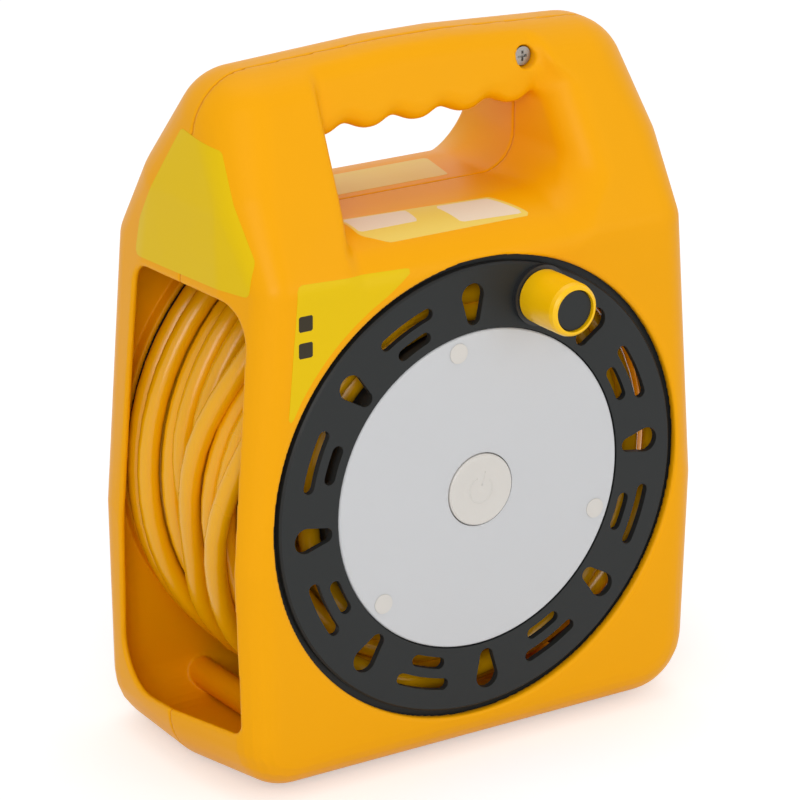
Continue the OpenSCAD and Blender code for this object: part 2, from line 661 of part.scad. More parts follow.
module at_plug() at_case() translate([plug_x, tail_y, plug_z]) rotate([0, -plug_tilt, 0]) children();
module plug_body() color([0.13, 0.13, 0.14]) at_plug() difference() {
  union() {
    turned() polygon([[0, -plug_t / 2], [plug_r - 3, -plug_t / 2], [plug_r, 3 - plug_t / 2], [plug_r, 1],
      [plug_r - 0.9, 2], [plug_r - 0.9, plug_t / 2], [0, plug_t / 2]]);
    rotate([0, 90, 0]) cylinder(r = 7.5, h = plug_r + 2);
  }
  for (s = [-1, 1]) translate([-2.6, 2, s > 0 ? plug_r - 2.2 : -plug_r - 1]) cube([5.2, 20, 3.2]);
  translate([plug_r - 0.9, 2, -3]) cube([12, plug_t / 2, 6]);
}
module plug_pins() color([0.75, 0.75, 0.77]) at_plug() for (s = [-1, 1])
  translate([0, 0, s * pin_pitch / 2]) turned() polygon([[0, plug_t / 2], [pin_r, plug_t / 2],
    [pin_r, plug_t / 2 + pin_len - 1.2], [pin_r - 1, plug_t / 2 + pin_len], [0, plug_t / 2 + pin_len]]);
module plug_earth() color([0.8, 0.8, 0.8]) at_plug() for (s = [-1, 1])
  translate([s > 0 ? plug_r - 0.7 : -plug_r - 0.2, 2.3, -2]) cube([0.9, plug_t / 2 - 2.8, 4]);
module strain_relief() color([0.13, 0.13, 0.14]) at_plug() rotate([0, 90, 0])
  translate([0, 0, plug_r + 2]) cylinder(r1 = 6.6, r2 = cord_r + 0.7, h = relief_len);
tail_in = plug_r + 2 + relief_len;
plug_c = [plug_x, tail_y, plug_z];
tail_pts = concat([plug_c + plug_dir * tail_in, plug_c + plug_dir * (tail_in + 10)],
  [for (a = [tail_phi:8.8:75]) [tail_r * cos(a), tail_y, tail_r * sin(a)]]);
module cord_tail() color([0.93, 0.70, 0.03]) at_case() cord_tube(tail_pts, cord_r, 8, [0, 1, 0]);

front_shell();
rear_shell();
case_screws();
handle_screw();
front_flange();
diffuser();
diffuser_screws();
screw_plugs();
lamp_board();
lamp_leds();
lamp_switch();
lamp_button();
drum_hub();
rear_flange();
socket_panel();
socket_contacts();
earth_clips();
usb_module();
thermal_cutout();
reset_button();
drum_screws();
knob_post();
knob_screw();
knob_sleeve();
knob_cap();
cord_core();
cord_winding();
plug_body();
plug_pins();
plug_earth();
strain_relief();
cord_tail();
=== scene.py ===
import bpy
import bmesh
import json
import math
import numpy as np
import openvdb as vdb
from mathutils import Matrix, Vector
from mathutils.bvhtree import BVHTree


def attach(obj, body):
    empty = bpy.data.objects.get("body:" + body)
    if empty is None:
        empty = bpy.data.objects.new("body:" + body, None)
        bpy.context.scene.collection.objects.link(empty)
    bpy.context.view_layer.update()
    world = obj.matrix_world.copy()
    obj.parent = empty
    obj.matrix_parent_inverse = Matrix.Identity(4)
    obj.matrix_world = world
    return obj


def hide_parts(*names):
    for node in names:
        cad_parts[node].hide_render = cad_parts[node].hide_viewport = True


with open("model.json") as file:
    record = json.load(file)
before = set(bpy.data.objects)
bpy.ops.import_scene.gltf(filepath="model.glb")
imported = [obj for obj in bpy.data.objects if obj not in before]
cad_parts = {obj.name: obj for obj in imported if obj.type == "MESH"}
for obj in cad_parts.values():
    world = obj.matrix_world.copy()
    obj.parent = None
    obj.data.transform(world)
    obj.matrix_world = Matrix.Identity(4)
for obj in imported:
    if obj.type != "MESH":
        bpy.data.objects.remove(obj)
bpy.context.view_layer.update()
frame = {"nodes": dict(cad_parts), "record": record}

# Sizes in millimetres in the part's own frame, as in the part's source:
# x to the right, y back from the front face, z up from the drum axis.
CASE_W, CASE_D, CASE_H, AXIS_H = 217.0, 110.0, 277.5, 109.5
HALF_W, MID_Y, TOP_Z = CASE_W / 2, CASE_D / 2, CASE_H - AXIS_H
WALL, PART_Y = 2.6, 52.0
CORD_D = 8.6
TUBE_R = CORD_D / 2


def sn(d):
    """Sine of an angle in degrees."""
    return math.sin(math.radians(d))


def cs(d):
    """Cosine of an angle in degrees."""
    return math.cos(math.radians(d))


def row(p):
    """A point in the part's own frame, in metres in the row frame."""
    return (p[0] / 1000, (p[1] - MID_Y) / 1000, (p[2] + AXIS_H) / 1000)


def rows(pts):
    return [row(p) for p in pts]


def turned(p, deg):
    """A point turned about the drum axis."""
    return (p[0] * cs(deg) - p[2] * sn(deg), p[1], p[0] * sn(deg) + p[2] * cs(deg))


def new_mesh(name, verts, faces, smooth=True):
    me = bpy.data.meshes.new(name)
    me.from_pydata([tuple(v) for v in verts], [], [tuple(f) for f in faces])
    me.validate()
    if smooth:
        me.polygons.foreach_set("use_smooth", [True] * len(me.polygons))
    ob = bpy.data.objects.new(name, me)
    bpy.context.collection.objects.link(ob)
    return ob


# ---------------------------------------------------------------- camera
CAM_AZ, CAM_EL, CAM_ROLL = -33.62, 19.98, 0.4
CAM_FOCUS_PX, IMAGE_PX, SENSOR = 4192.4, 800, 36
CAM_SHIFT = (31.12, 34.31, 1597.95)  # where the drum axis meets the front: right, down and ahead


def camera():
    """The camera at the photograph's viewing angle, aimed past the drum axis."""
    back = Vector((sn(CAM_AZ) * cs(CAM_EL), -cs(CAM_AZ) * cs(CAM_EL), sn(CAM_EL)))
    right = (-back).cross(Vector((0, 0, 1))).normalized()
    up = right.cross(-back)
    right_r = right * cs(CAM_ROLL) + up * sn(CAM_ROLL)
    up_r = -right * sn(CAM_ROLL) + up * cs(CAM_ROLL)
    place = -(right_r * CAM_SHIFT[0] - up_r * CAM_SHIFT[1] - back * CAM_SHIFT[2])
    cam = bpy.data.cameras.new("camera")
    cam.lens = CAM_FOCUS_PX / IMAGE_PX * SENSOR
    cam.sensor_width = SENSOR
    cam.clip_start, cam.clip_end = 0.05, 50
    ob = bpy.data.objects.new("camera", cam)
    bpy.context.collection.objects.link(ob)
    m = Matrix((right_r, up_r, back)).transposed().to_4x4()
    m.translation = Vector(row(place))
    ob.matrix_world = m
    bpy.context.scene.camera = ob


camera()


# ---------------------------------------------------------------- materials
def lin(r, g, b):
    """A colour given in sRGB steps, as the linear values that a shader takes."""
    return tuple(((c / 255 + 0.055) / 1.055) ** 2.4 if c > 10 else c / 255 / 12.92 for c in (r, g, b))


def noise(nt, vector, scale, detail):
    n = nt.nodes.new("ShaderNodeTexNoise")
    n.inputs["Scale"].default_value = scale
    n.inputs["Detail"].default_value = detail
    nt.links.new(vector, n.inputs["Vector"])
    return n.outputs["Fac"]


def bump(nt, height, strength, distance, under=None):
    b = nt.nodes.new("ShaderNodeBump")
    b.inputs["Strength"].default_value = strength
    b.inputs["Distance"].default_value = distance
    nt.links.new(height, b.inputs["Height"])
    if under:
        nt.links.new(under, b.inputs["Normal"])
    return b.outputs["Normal"]


def blend_colour(nt, fac, a, b):
    mix = nt.nodes.new("ShaderNodeMix")
    mix.data_type = "RGBA"
    nt.links.new(fac, mix.inputs[0])
    for socket, col in ((mix.inputs[6], a), (mix.inputs[7], b)):
        if isinstance(col, tuple):
            socket.default_value = (*col, 1)
        else:
            nt.links.new(col, socket)
    return mix.outputs[2]


def remap(nt, value, lo, hi, to_lo, to_hi):
    r = nt.nodes.new("ShaderNodeMapRange")
    for k, v in enumerate((lo, hi, to_lo, to_hi)):
        r.inputs[k + 1].default_value = v
    nt.links.new(value, r.inputs[0])
    return r.outputs[0]


SLOW_SCALE, SCRATCH_SCALE, SCRATCH_STRETCH = 22, 60, 14
GRAIN_HEIGHT, SCRATCH_HEIGHT, SCATTER_RADIUS = 0.0004, 0.0003, 0.004  # in metres
GLOSS_LOW, GLOSS_HIGH = 0.88, 1.12


def material(name, col, rough=0.4, metal=0.0, grain=0.0006, grain_depth=0.05, tone=0.05, scratch=0.0, sss=0.0,
             spec=0.5, extra=None):
    """Moulded plastic, metal or rubber: fine surface grain, slow changes of tone and gloss, faint scuffs."""
    m = bpy.data.materials.new(name)
    m.use_nodes = True
    nt = m.node_tree
    bs = nt.nodes["Principled BSDF"]
    bs.inputs["Metallic"].default_value = metal
    bs.inputs["Specular IOR Level"].default_value = spec
    if sss:
        bs.inputs["Subsurface Weight"].default_value = sss
        bs.inputs["Subsurface Radius"].default_value = (SCATTER_RADIUS,) * 3
        bs.inputs["Subsurface Scale"].default_value = 1.0
    at = nt.nodes.new("ShaderNodeTexCoord").outputs["Object"]
    slow = noise(nt, at, SLOW_SCALE, 3)
    fine = noise(nt, at, 1 / grain, 2)
    dark = tuple(c * (1 - tone) for c in col)
    light = tuple(min(1, c * (1 + tone)) for c in col)
    out = blend_colour(nt, slow, dark, light)
    if extra:
        out = extra(nt, at, out)
    nt.links.new(out, bs.inputs["Base Color"])
    gloss = remap(nt, slow, 0.3, 0.7, max(0.02, rough * GLOSS_LOW), rough * GLOSS_HIGH)
    nt.links.new(gloss, bs.inputs["Roughness"])
    normal = bump(nt, fine, grain_depth, GRAIN_HEIGHT)
    if scratch:
        long = nt.nodes.new("ShaderNodeMapping")
        long.inputs["Scale"].default_value = (1, 1, SCRATCH_STRETCH)
        nt.links.new(at, long.inputs["Vector"])
        marks = noise(nt, long.outputs["Vector"], SCRATCH_SCALE, 2)
        normal = bump(nt, marks, scratch, SCRATCH_HEIGHT, normal)
    nt.links.new(normal, bs.inputs["Normal"])
    return m


SEAM_CORE, SEAM_EDGE, SEAM_DARKNESS = 0.00012, 0.0005, 0.5  # metres from the parting line, and its weight
SEAM_COLOUR = lin(190, 105, 0)


def seam(nt, at, col):
    """A thin darker line where the two half shells meet."""
    sep = nt.nodes.new("ShaderNodeSeparateXYZ")
    nt.links.new(at, sep.inputs[0])
    off = nt.nodes.new("ShaderNodeMath")
    off.operation = "SUBTRACT"
    off.inputs[1].default_value = (PART_Y - MID_Y) / 1000
    nt.links.new(sep.outputs[1], off.inputs[0])
    gap = nt.nodes.new("ShaderNodeMath")
    gap.operation = "ABSOLUTE"
    nt.links.new(off.outputs[0], gap.inputs[0])
    near = remap(nt, gap.outputs[0], SEAM_CORE, SEAM_EDGE, SEAM_DARKNESS, 0.0)
    return blend_colour(nt, near, col, SEAM_COLOUR)


LOOKS = {
    "case": material("case_plastic", lin(244, 168, 0), 0.38, grain=0.0007, grain_depth=0.035, tone=0.02,
                     spec=0.12, extra=seam),
    "flange": material("flange_plastic", lin(38, 40, 40), 0.42, grain=0.0005, grain_depth=0.10, tone=0.06,
                       spec=0.22),
    "diffuser": material("diffuser_plastic", lin(205, 206, 208), 0.38, grain=0.0009, grain_depth=0.02,
                         tone=0.008, sss=0.25, spec=0.3),
    "button": material("button_plastic", lin(215, 211, 205), 0.32, grain=0.0008, grain_depth=0.02,
                       tone=0.008, sss=0.1, spec=0.3),
    "board": material("board_lacquer", lin(228, 232, 226), 0.35, tone=0.03),
    "led": material("led_phosphor", lin(240, 225, 150), 0.3, tone=0.04),
    "black": material("black_plastic", lin(36, 37, 39), 0.42, grain=0.0005, grain_depth=0.08, tone=0.08),
    "steel": material("plated_steel", (0.62, 0.62, 0.63), 0.3, metal=1.0, grain=0.0004, tone=0.05,
                      scratch=0.1),
    # painted shade: the screws' metal is darker than the plated steel, to stand for the shade deep in their
    # counterbores
    "screw": material("screw_painted_shade", (0.34, 0.33, 0.31), 0.36, metal=1.0, grain=0.0004, tone=0.08,
                      scratch=0.1),
    "contact": material("brass_contact", (0.75, 0.55, 0.25), 0.3, metal=1.0, tone=0.06),
    "red": material("red_plastic", lin(190, 30, 22), 0.3, tone=0.04),
    "knob": material("knob_plastic", lin(252, 196, 0), 0.3, grain=0.0008, grain_depth=0.02, tone=0.02,
                     spec=0.35),
    "cord": material("cord_jacket", lin(240, 174, 0), 0.25, grain=0.0016, grain_depth=0.025, tone=0.02,
                     spec=0.45),
    "plate": material("bare_plate", lin(230, 192, 0), 0.36, grain_depth=0.015, tone=0.012, spec=0.15),
    "plate_cream": material("cream_plate", lin(236, 205, 95), 0.36, grain_depth=0.015, tone=0.012, spec=0.25),
    "plate_pale": material("pale_plate", lin(232, 214, 190), 0.4, grain_depth=0.015, tone=0.015, spec=0.25),
    "plate_dark": material("dark_print", lin(48, 40, 22), 0.42, grain_depth=0.02, tone=0.04, spec=0.25),
}
SLOT_OF = {s["node"]: s["material_slot"] for s in frame["record"]["subparts"]}
# Screws that take the darker metal, which is painted shade for their deep counterbores.
SCREWS_IN_PAINTED_SHADE = ("case_screws", "handle_screw")

for node_name, node in frame["nodes"].items():
    look = "screw" if node_name in SCREWS_IN_PAINTED_SHADE else SLOT_OF.get(node_name, "case")
    for slot in node.material_slots:
        slot.material = LOOKS[look]


def finish_piece(ob, look, body, slot, *stands_for):
    """Gives a piece its material and the body it rides on, and hides the CAD nodes that it stands for; the
    slot is not used.
    """
    ob.data.materials.clear()
    ob.data.materials.append(LOOKS[look])
    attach(ob, body)
    if stands_for:
        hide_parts(*stands_for)


# ---------------------------------------------------------------- cords
def tube(name, pts, r, sides):
    """A round tube through the points, its rings turned about the y axis."""
    p = np.array(pts, float)
    n = len(p)
    t = np.zeros_like(p)
    t[1:-1] = p[2:] - p[:-2]
    t[0], t[-1] = p[1] - p[0], p[-1] - p[-2]
    t /= np.linalg.norm(t, axis=1)[:, None]
    u = np.cross((0.0, 1.0, 0.0), t)
    u /= np.linalg.norm(u, axis=1)[:, None]
    v = np.cross(t, u)
    a = (np.arange(sides) * 2 * math.pi / sides)[None, :, None]
    ring = p[:, None, :] + r * (np.cos(a) * u[:, None, :] + np.sin(a) * v[:, None, :])
    faces = []
    for i in range(n - 1):
        for k in range(sides):
            a0, b0 = i * sides + k, i * sides + (k + 1) % sides
            faces.append((a0, b0, b0 + sides, a0 + sides))
    faces.append(tuple(reversed(range(sides))))
    faces.append(tuple((n - 1) * sides + k for k in range(sides)))
    return new_mesh(name, ring.reshape(-1, 3), faces)


def smooth_through(xs, ys, x):
    """A smooth curve through the keys that never swings past one of them."""
    xs, ys = np.array(xs, float), np.array(ys, float)
    h = np.diff(xs)
    rise = np.diff(ys) / h
    slope = np.zeros_like(ys)
    same = rise[:-1] * rise[1:] > 0
    slope[1:-1][same] = 2 * (rise[:-1] * rise[1:])[same] / (rise[:-1] + rise[1:])[same]
    i = np.clip(np.searchsorted(xs, x, side="right") - 1, 0, len(h) - 1)
    t = (x - xs[i]) / h[i]
    return (ys[i] * (1 + 2 * t) * (1 - t) ** 2 + ys[i + 1] * t * t * (3 - 2 * t)
            + h[i] * (slope[i] * t * (1 - t) ** 2 + slope[i + 1] * t * t * (t - 1)))


# Inner layers, each: centre radius, turns, y at its start and at its end.
INNER = ((66.3, 5.2, 14.0, 95.0), (74.5, 5.0, 95.0, 15.0), (82.7, 8.4, 14.5, 92.0))
INNER_END, LAYER_STEP = -60, 24  # angle where the inner layers end, and degrees from one layer to the next
SWAY, SWAY_PHASE, LUMP = 1.5, 70, 0.5  # how far the inner turns stray along y, and in radius
RINGS_PER_TURN = 60
WINDING_SIDES = 20
# Outer turns in the order in which they are wound, as the photograph shows them in the left window:
# where each passes an angle about the drum axis, its y and its centre radius.
OUTER = (
    {0: (88.3, 90.3), 140: (88.3, 90.3), 220: (88.3, 90.3), 330: (87.5, 90.3)},
    {140: (77.3, 91.3), 180: (76.8, 91.3), 220: (77.2, 91.3)},
    {140: (69.0, 93.0), 165: (68.6, 92.8), 202: (68.5, 87.0), 236: (68.3, 91.3)},
    {140: (60.0, 91.3), 160: (60.0, 91.0), 192: (60.0, 86.0), 226: (60.5, 91.3), 360: (41.0, 91.3)},
    {140: (34.5, 91.3), 165: (43.5, 91.3), 190: (48.5, 91.3), 220: (50.0, 91.3), 360: (27.0, 91.3)},
    {140: (25.0, 91.3), 165: (34.0, 91.3), 190: (39.5, 91.3), 220: (41.0, 91.3), 360: (14.3, 92.0)},
    {140: (16.0, 92.0), 160: (22.5, 93.2), 190: (35.0, 99.2), 225: (50.0, 99.9), 262: (54.0, 99.9),
     320: (52.0, 99.9)},
    {140: (38.0, 98.5), 165: (48.5, 98.5), 196: (63.0, 94.3), 215: (71.3, 97.6), 240: (77.5, 99.4),
     262: (79.5, 99.4), 360: (81.5, 99.4)},
    {140: (84.0, 97.6), 180: (84.2, 97.8), 220: (85.5, 98.0), 262: (88.3, 98.2), 360: (90.5, 98.0)},
    {140: (92.5, 97.2), 180: (92.5, 97.5), 220: (92.5, 97.4), 262: (91.8, 96.0), 300: (90.8, 91.5)},
)


def winding_points():
    """The wound cord from the hub outwards, as radius, y and angle on the drum."""
    rings = []
    a = INNER_END - sum(turns for _, turns, _, _ in INNER) * 360 - (len(INNER) - 1) * LAYER_STEP
    for k, (r, turns, ya, yb) in enumerate(INNER):
        steps = int(turns * RINGS_PER_TURN)
        for i in range(steps + 1):
            t = i / steps
            sway = SWAY * sn(360 * turns * t + SWAY_PHASE * k) * sn(180 * t)
            lump = LUMP * sn(720 * turns * t)
            rings.append((r + lump, ya + (yb - ya) * t + sway, a + 360 * turns * t))
        a += 360 * turns + LAYER_STEP
    keys = [(INNER_END, rings[-1][1], rings[-1][0])]
    for n, lane in enumerate(OUTER):
        keys += [(360 * n + angle, y, r) for angle, (y, r) in lane.items()]
    at, ys, rs = zip(*keys)
    steps = int((at[-1] - INNER_END) / 360 * RINGS_PER_TURN)
    for angle in np.linspace(INNER_END, at[-1], steps + 1)[1:]:
        r, y = (float(smooth_through(at, values, angle)) for values in (rs, ys))
        rings.append((r, y, float(angle)))
    return rings


wind_xyz = [(r * cs(a), y, r * sn(a)) for r, y, a in winding_points()]
winding = tube("wound_cord", rows(wind_xyz), TUBE_R / 1000, WINDING_SIDES)
finish_piece(winding, "cord", "drum", "cord", "cord_winding", "cord_core")

# The last stretch, from the plug in its corner up round the winding, on the route of the part's source.
# PLUG_TO_TAIL reaches from the plug's middle to the end of its strain relief.
PLUG_X, PLUG_Z, PLUG_TO_TAIL = 85.4, -87.0, 42.5
TAIL_Y, TAIL_R, TAIL_PHI, TAIL_STEP, TAIL_STEPS, TAIL_SIDES = 63.0, 103.1, -13.0, 2.2, 40, 20
tail_way = Vector((TAIL_R * cs(TAIL_PHI) - PLUG_X, 0, TAIL_R * sn(TAIL_PHI) - PLUG_Z)).normalized()
tail_xyz = [tuple(Vector((PLUG_X, TAIL_Y, PLUG_Z)) + tail_way * (PLUG_TO_TAIL + d)) for d in (0, 5, 10)]
for i in range(1, TAIL_STEPS + 1):
    phi = TAIL_PHI + TAIL_STEP * i
    tail_xyz.append((TAIL_R * cs(phi), TAIL_Y, TAIL_R * sn(phi)))
tail = tube("cord_end_run", rows(tail_xyz), TUBE_R / 1000, TAIL_SIDES)
finish_piece(tail, "cord", "case", "cord", "cord_tail")


# ---------------------------------------------------------------- case shells from a distance field
# The grid's cell, where the grid starts and how far it reaches, in mm, and its points along each axis.
CELL = 0.8
LO = np.array([-111.0, -3.2, -112.0])
SPAN = np.array([222.0, 116.5, 283.0])
COUNT = np.ceil(SPAN / CELL).astype(int) + 1
X = (LO[0] + CELL * np.arange(COUNT[0], dtype=np.float32))[:, None, None]
Y = (LO[1] + CELL * np.arange(COUNT[1], dtype=np.float32))[None, :, None]
Z = (LO[2] + CELL * np.arange(COUNT[2], dtype=np.float32))[None, None, :]

# The case's outer form, in the sizes of the part's source.
DRAFT_W, REAR_IN = 2.4, 0.2
FRONT_W, REAR_W = HALF_W - DRAFT_W, HALF_W - REAR_IN
EDGE_R, REAR_R, CORNER_R, BASE_Y = 13.5, 17.0, 24.0, 40.0
SHOULDER_Z, SHOULDER_IN, FRONT_IN, FOOT_IN, FRONT_RISE = 91.0, 7.4, 1.2, 1.6, 3.2
RIDGE_R, RIDGE_FLAT, CROWN_X, SIDE_SWELL = 24.0, 4.0, 14.0, 2.6
TOP_W, TOP_ARCH, SIDE_Z = 192.0, 3.1, -15
CORNER_X, CORNER_Z = TOP_W / 2 - RIDGE_R, TOP_Z - TOP_ARCH - RIDGE_R
# How finely the balls that the outer form is stretched over are drawn.
BALL_RINGS, RIDGE_RINGS, CORNER_RINGS, CORNER_BALLS = 24, 32, 12, 13


def ball(x, y, z, r, n=BALL_RINGS):
    """Points on a ball."""
    th, ph = np.meshgrid(np.linspace(0, math.pi, n + 1), np.linspace(0, 2 * math.pi, 2 * n, endpoint=False),
                         indexing="ij")
    return np.stack([x + r * np.sin(th) * np.cos(ph), y + r * np.sin(th) * np.sin(ph), z + r * np.cos(th)],
                    -1).reshape(-1, 3)


def corner_ring(x, y, z, r, side):
    """The round bottom corner: balls along a quarter circle, seen from the front."""
    reach = CORNER_R - r
    balls = [ball(x + side * reach * cs(a), y, z - reach * sn(a), r, CORNER_RINGS)
             for a in np.linspace(0, 90, CORNER_BALLS)]
    return np.vstack(balls)


def outer_points():
    """Points whose convex hull is the case's outer form."""
    pts = []
    for x in (CORNER_R - HALF_W, HALF_W - CORNER_R):
        pts += [[[x, y, -AXIS_H]] for y in (BASE_Y, CASE_D - REAR_R)]
    top_y = (MID_Y - RIDGE_FLAT / 2, MID_Y + RIDGE_FLAT / 2)
    front_x = FRONT_W - EDGE_R - SHOULDER_IN - FRONT_IN
    rear_x = REAR_W - REAR_R - SHOULDER_IN
    swell_z = (SHOULDER_Z + CORNER_Z) / 2
    for s in (-1, 1):
        for wide, y, z, r in ((FRONT_W, EDGE_R, FRONT_RISE + CORNER_R - AXIS_H, EDGE_R),
                              (REAR_W, CASE_D - REAR_R, CORNER_R - AXIS_H, REAR_R)):
            pts.append(corner_ring(s * (wide - CORNER_R - FOOT_IN), y, z, r, s))
        for y in (PART_Y - 0.5, PART_Y + 0.5):
            pts.append([[s * (HALF_W - CORNER_R + CORNER_R * cs(a)), y, CORNER_R - AXIS_H + CORNER_R * sn(a)]
                        for a in range(-90, 1, 3)])
        for x, wide_x, y, r, y_top in ((front_x, FRONT_W - EDGE_R, EDGE_R, EDGE_R, top_y[0]),
                                       (rear_x, REAR_W - REAR_R, CASE_D - REAR_R, REAR_R, top_y[1])):
            pts.append(ball(s * wide_x, y, SIDE_Z, r))
            pts.append(ball(s * x, y, SHOULDER_Z, r))
            swell_x = (x + CORNER_X) / 2 + SIDE_SWELL
            pts.append(ball(s * swell_x, (y + y_top) / 2, swell_z, (r + RIDGE_R) / 2))
        for y in top_y:
            pts.append(ball(s * CORNER_X, y, CORNER_Z, RIDGE_R, RIDGE_RINGS))
            pts.append(ball(s * CROWN_X, y, TOP_Z - RIDGE_R, RIDGE_R, RIDGE_RINGS))
    return np.vstack(pts)


def level_set(points, half):
    """Distance to the convex hull of the points, cut off at half to either side."""
    bm = bmesh.new()
    for p in points:
        bm.verts.new(p)
    bmesh.ops.convex_hull(bm, input=bm.verts)
    bmesh.ops.triangulate(bm, faces=bm.faces)
    bm.verts.index_update()
    co = np.array([v.co[:] for v in bm.verts], np.float32)
    tri = np.array([[v.index for v in f.verts] for f in bm.faces], np.uint32)
    bm.free()
    grid = vdb.FloatGrid.createLevelSetFromPolygons(
        (co - LO.astype(np.float32)) / CELL, triangles=tri,
        transform=vdb.createLinearTransform(1.0), halfWidth=half / CELL)
    a = np.zeros(tuple(COUNT), np.float32)
    grid.copyToArray(a, ijk=(0, 0, 0))
    return a * CELL


def rmax(a, b, r):
    """Where both a and b are inside, with the edge between them rounded by r."""
    u, v = np.maximum(a + r, 0), np.maximum(b + r, 0)
    return np.minimum(-r, np.maximum(a, b)) + np.sqrt(u * u + v * v)


def step01(a, lo, hi):
    """A smooth rise from 0 at lo to 1 at hi."""
    c = np.clip((a - lo) / (hi - lo), 0, 1)
    return c * c * (3 - 2 * c)


def cyl(cx, cz, r, y0, y1):
    """A round bar along y."""
    d = np.sqrt((X - cx) ** 2 + (Z - cz) ** 2) - r
    return np.maximum(d, np.maximum(y0 - Y, Y - y1))


def both_faces(r_in, r_out, y0, y1):
    """A ring about the drum axis near the front face, and its like near the rear face."""
    band = np.maximum(np.sqrt(X * X + Z * Z) - r_out, r_in - np.sqrt(X * X + Z * Z))
    return np.minimum(np.maximum(band, np.maximum(y0 - Y, Y - y1)),
                      np.maximum(band, np.maximum(CASE_D - y1 - Y, Y - (CASE_D - y0))))


# The hand hole, the grip over it and the handle screw's counterbore, in the sizes of the part's source.
SADDLE_Z, SADDLE_FLAT, SADDLE_R = 107.4, 25.0, 42.5
HOLE_LEFT, HOLE_RIGHT, HOLE_DRAFT, HOLE_R_LEFT, HOLE_R_RIGHT = 50.0, 48.5, 7.0, 4.0, 15.0
GRIP_Z, GRIP_Y, GRIP_R, GRIP_ZT = 138.2, 31.0, 9.0, TOP_Z - 5
SCALLOP_D, SCALLOP_PITCH, SCALLOP_X, SCALLOP_POWER = 2.8, 21.6, -48.8, 1.25
GRIP_IN = GRIP_ZT - CORNER_Z - TOP_ARCH / 2
GRIP_YT = MID_Y - RIDGE_FLAT / 2 - math.sqrt(RIDGE_R ** 2 - GRIP_IN ** 2)
HSCREW_X, HSCREW_Z = 44.0, 155.3
# The scene's own: what brings the wave's height near a true distance, and the grip's roundings.
SEAT_SCALE, GRIP_EDGE_R, GRIP_JOIN_R = 0.93, 3.0, 3.5


def grip_at(z):
    """y of the grip's set-back front face at a height."""
    return GRIP_Y + (GRIP_YT - GRIP_Y) * (z - GRIP_Z) / (GRIP_ZT - GRIP_Z)


HSCREW_Y = grip_at(HSCREW_Z) + 5


def hole_field():
    """The hand hole with its drafted walls, rolled saddle, scallops and set-back grip faces."""
    off = np.abs(Y - MID_Y) - SADDLE_FLAT
    low = SADDLE_Z - SADDLE_R
    roll = SADDLE_R - np.sqrt(off * off + np.maximum(Z - low, 0) ** 2)
    floor = np.where(off > 0, roll, SADDLE_Z - Z)
    draft = np.abs(Y - PART_Y) * math.tan(math.radians(HOLE_DRAFT))
    left = (-HOLE_LEFT - draft - X) * cs(HOLE_DRAFT)
    right = (X - HOLE_RIGHT - draft) * cs(HOLE_DRAFT)
    around = np.maximum(rmax(left, floor, HOLE_R_LEFT), rmax(right, floor, HOLE_R_RIGHT))
    wave = 0.5 - 0.5 * np.cos(2 * math.pi * (X - SCALLOP_X) / SCALLOP_PITCH)
    seats = (Z - GRIP_Z - SCALLOP_D * wave ** SCALLOP_POWER) * SEAT_SCALE
    lean = math.cos(math.atan2(GRIP_YT - GRIP_Y, GRIP_ZT - GRIP_Z))
    front_face = (Y - grip_at(Z)) * lean
    rear_face = (CASE_D - Y - grip_at(Z)) * lean
    grip = rmax(-seats, rmax(-front_face, -rear_face, GRIP_EDGE_R), GRIP_R)
    return rmax(around, -grip, GRIP_JOIN_R)


def rounded_outline(corners, arc_steps=12):
    """A closed outline through corners ((u, v), radius), each rounded by its radius."""
    pts = []
    for i, (corner, r) in enumerate(corners):
        p = np.array(corner, float)
        to_last = np.array(corners[i - 1][0], float) - p
        to_next = np.array(corners[(i + 1) % len(corners)][0], float) - p
        u, v = to_last / np.linalg.norm(to_last), to_next / np.linalg.norm(to_next)
        half = math.acos(float(u @ v)) / 2
        c = p + (u + v) / np.linalg.norm(u + v) * r / math.sin(half)
        start, end = p + u * r / math.tan(half) - c, p + v * r / math.tan(half) - c
        a0 = math.atan2(start[1], start[0])
        turn = (math.atan2(end[1], end[0]) - a0 + math.pi) % (2 * math.pi) - math.pi
        for k in range(arc_steps + 1):
            a = a0 + turn * k / arc_steps
            pts.append(c + r * np.array([math.cos(a), math.sin(a)]))
    return np.array(pts)


WINDOW = (((8.4, -80.5), 5), ((11.4, 87.0), 16), ((84.5, 86.0), 9), ((90.5, -88.5), 19))
WINDOW_EDGE = 1.3


def window_field():
    """Distance in y and z to the rounded outline of a side window."""
    pts = rounded_outline(WINDOW)
    yy, zz = np.meshgrid(Y.ravel(), Z.ravel(), indexing="ij")
    q = np.stack([yy.ravel(), zz.ravel()], -1)
    best = np.full(len(q), 1e9)
    inside = np.zeros(len(q), bool)
    for a, b in zip(pts, np.roll(pts, -1, axis=0)):
        ab = b - a
        t = np.clip(((q - a) @ ab) / (ab @ ab + 1e-12), 0, 1)
        best = np.minimum(best, np.linalg.norm(q - a - t[:, None] * ab, axis=1))
        if a[1] != b[1]:
            level = (a[1] > q[:, 1]) != (b[1] > q[:, 1])
            inside ^= level & (q[:, 0] < a[0] + (q[:, 1] - a[1]) / ab[1] * ab[0])
    return np.where(inside, -best, best).reshape(yy.shape)[None].astype(np.float32)


CRISP_R, SOFT_R, SADDLE_EDGE_R, REAR_EDGE_R = 3.0, 13.0, 5.0, 4.0
# Where the edge's radius changes, from and to.
SOFT_X, GRIP_FADE_Z, SADDLE_FADE_Z, REAR_FADE_Y = (15, 42), (144, 156), (99, 116), (48, 60)


